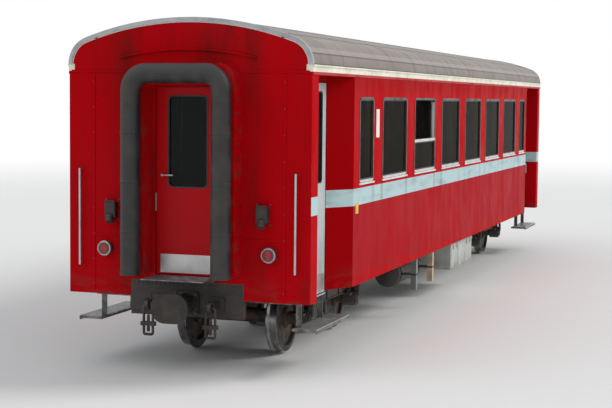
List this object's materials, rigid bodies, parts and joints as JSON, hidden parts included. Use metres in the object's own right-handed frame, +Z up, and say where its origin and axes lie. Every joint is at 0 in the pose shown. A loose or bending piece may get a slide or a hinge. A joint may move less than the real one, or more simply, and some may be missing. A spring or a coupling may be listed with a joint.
{
  "type": "metre-gauge passenger coach",
  "caption": "Four-axle metre-gauge passenger coach with recessed folding entrance doors, arched roof, swivelling bogies and a centre buffer at each end.",
  "frame": {"origin": "centre of the coach on the plane under the wheel flanges", "axes": "+X along the coach towards its front end, +Y to its left side, +Z up"},
  "size_m": [14.91, 2.694, 3.625],
  "materials": {
    "black_rubber": "black rubber, slightly dusty",
    "body_red": "semi-gloss coach red with a light grey band",
    "bogie_grey": "dark grey bogie paint with brake dust",
    "case_grey": "light grey paint",
    "coupler_steel": "greasy dark steel",
    "door_grey": "satin light grey paint",
    "eave_cream": "cream paint",
    "floor_covering": "speckled grey floor covering",
    "frame_dark": "dark grey underframe paint with brake dust",
    "lamp_white": "frosted diffuser",
    "rail_steel": "polished handrail",
    "roof_grey": "weathered light grey roof paint",
    "seat_fabric": "woven upholstery",
    "seat_metal": "grey enamel",
    "spring_steel": "black springs",
    "step_metal": "worn grey paint",
    "table_laminate": "pale laminate",
    "wall_lining": "pale laminate lining",
    "wheel_steel": "bright tread, rusty web",
    "window_aluminium": "satin anodised",
    "window_glass": "clear, faintly tinted"
  },
  "bodies": {
    "coach_body": {"air_tanks": "frame_dark", "battery_case": "case_grey", "brake_cylinders": "frame_dark", "ceiling_lamps": "wall_lining", "centre_buffers": "coupler_steel", "converter_case": "case_grey", "draw_hooks": "coupler_steel", "eave_strips": "eave_cream", "end_lamps": "lamp_white", "end_rails": "rail_steel", "end_wall_front": "body_red", "end_wall_rear": "body_red", "floor": "floor_covering", "footsteps": "step_metal", "gangway_frames": "body_red", "gangway_plates": "step_metal", "gangway_tubes": "black_rubber", "headstocks": "frame_dark", "luggage_racks": "seat_metal", "partitions": "wall_lining", "roof": "roof_grey", "screw_links": "coupler_steel", "seat_backs": "seat_fabric", "seat_cushions": "seat_fabric", "seat_frames": "seat_metal", "side_sills": "frame_dark", "side_wall_left": "body_red", "side_wall_right": "body_red", "step_wells": "step_metal", "tables": "table_laminate", "tank_straps": "frame_dark", "underframe": "frame_dark", "window_frames_left": "window_aluminium", "window_frames_right": "window_aluminium", "window_glass_left": "window_glass", "window_glass_right": "window_glass"},
    "bogie_front": {"axle_boxes_front": "bogie_grey", "bogie_frame_front": "bogie_grey", "springs_front": "spring_steel"},
    "wheelset_front_outer": {"wheelset_front_outer": "wheel_steel"},
    "wheelset_front_inner": {"wheelset_front_inner": "wheel_steel"},
    "bogie_rear": {"axle_boxes_rear": "bogie_grey", "bogie_frame_rear": "bogie_grey", "springs_rear": "spring_steel"},
    "wheelset_rear_outer": {"wheelset_rear_outer": "wheel_steel"},
    "wheelset_rear_inner": {"wheelset_rear_inner": "wheel_steel"},
    "entrance_leaf_a_front_right": {"door_leaf_a_front_right": "door_grey"},
    "entrance_leaf_b_front_right": {"door_leaf_b_front_right": "door_grey"},
    "entrance_leaf_a_front_left": {"door_leaf_a_front_left": "door_grey"},
    "entrance_leaf_b_front_left": {"door_leaf_b_front_left": "door_grey"},
    "entrance_leaf_a_rear_right": {"door_leaf_a_rear_right": "door_grey"},
    "entrance_leaf_b_rear_right": {"door_leaf_b_rear_right": "door_grey"},
    "entrance_leaf_a_rear_left": {"door_leaf_a_rear_left": "door_grey"},
    "entrance_leaf_b_rear_left": {"door_leaf_b_rear_left": "door_grey"},
    "end_door_front": {"end_door_front": "body_red"},
    "end_door_rear": {"end_door_rear": "body_red"}
  },
  "joints": [
    {"name": "bogie_front_pivot", "type": "hinge", "parent": "coach_body", "child": "bogie_front", "pos_m": [4.65, 0, 0.752], "axis": [0, 0, 1], "range_deg": [-6, 6]},
    {"name": "wheelset_front_outer_axle", "type": "hinge", "parent": "bogie_front", "child": "wheelset_front_outer", "pos_m": [5.55, 0, 0.403], "axis": [0, 1, 0], "continuous": true},
    {"name": "wheelset_front_inner_axle", "type": "hinge", "parent": "bogie_front", "child": "wheelset_front_inner", "pos_m": [3.75, 0, 0.403], "axis": [0, 1, 0], "continuous": true},
    {"name": "bogie_rear_pivot", "type": "hinge", "parent": "coach_body", "child": "bogie_rear", "pos_m": [-4.65, 0, 0.752], "axis": [0, 0, 1], "range_deg": [-6, 6]},
    {"name": "wheelset_rear_outer_axle", "type": "hinge", "parent": "bogie_rear", "child": "wheelset_rear_outer", "pos_m": [-5.55, 0, 0.403], "axis": [0, 1, 0], "continuous": true},
    {"name": "wheelset_rear_inner_axle", "type": "hinge", "parent": "bogie_rear", "child": "wheelset_rear_inner", "pos_m": [-3.75, 0, 0.403], "axis": [0, 1, 0], "continuous": true},
    {"name": "entrance_door_front_right", "type": "hinge", "parent": "coach_body", "child": "entrance_leaf_a_front_right", "pos_m": [5.905, -1.077, 1.8705], "axis": [0, 0, 1], "range_deg": [0, 85]},
    {"name": "entrance_fold_front_right", "type": "hinge", "parent": "entrance_leaf_a_front_right", "child": "entrance_leaf_b_front_right", "pos_m": [6.34, -1.115, 1.8705], "axis": [0, 0, 1], "range_deg": [-170, 0]},
    {"name": "entrance_door_front_left", "type": "hinge", "parent": "coach_body", "child": "entrance_leaf_a_front_left", "pos_m": [5.905, 1.077, 1.8705], "axis": [0, 0, -1], "range_deg": [0, 85]},
    {"name": "entrance_fold_front_left", "type": "hinge", "parent": "entrance_leaf_a_front_left", "child": "entrance_leaf_b_front_left", "pos_m": [6.34, 1.115, 1.8705], "axis": [0, 0, -1], "range_deg": [-170, 0]},
    {"name": "entrance_door_rear_right", "type": "hinge", "parent": "coach_body", "child": "entrance_leaf_a_rear_right", "pos_m": [-5.905, -1.077, 1.8705], "axis": [0, 0, -1], "range_deg": [0, 85]},
    {"name": "entrance_fold_rear_right", "type": "hinge", "parent": "entrance_leaf_a_rear_right", "child": "entrance_leaf_b_rear_right", "pos_m": [-6.34, -1.115, 1.8705], "axis": [0, 0, -1], "range_deg": [-170, 0]},
    {"name": "entrance_door_rear_left", "type": "hinge", "parent": "coach_body", "child": "entrance_leaf_a_rear_left", "pos_m": [-5.905, 1.077, 1.8705], "axis": [0, 0, 1], "range_deg": [0, 85]},
    {"name": "entrance_fold_rear_left", "type": "hinge", "parent": "entrance_leaf_a_rear_left", "child": "entrance_leaf_b_rear_left", "pos_m": [-6.34, 1.115, 1.8705], "axis": [0, 0, 1], "range_deg": [-170, 0]},
    {"name": "end_door_front_hinge", "type": "hinge", "parent": "coach_body", "child": "end_door_front", "pos_m": [6.95, 0.336, 2], "axis": [0, 0, -1], "range_deg": [0, 90]},
    {"name": "end_door_rear_hinge", "type": "hinge", "parent": "coach_body", "child": "end_door_rear", "pos_m": [-6.95, -0.336, 2], "axis": [0, 0, -1], "range_deg": [0, 90]}
  ],
  "couplings": [
    {"joint": "entrance_fold_front_right", "follows": "entrance_door_front_right", "ratio": -2},
    {"joint": "entrance_fold_front_left", "follows": "entrance_door_front_left", "ratio": -2},
    {"joint": "entrance_fold_rear_right", "follows": "entrance_door_rear_right", "ratio": -2},
    {"joint": "entrance_fold_rear_left", "follows": "entrance_door_rear_left", "ratio": -2}
  ]
}
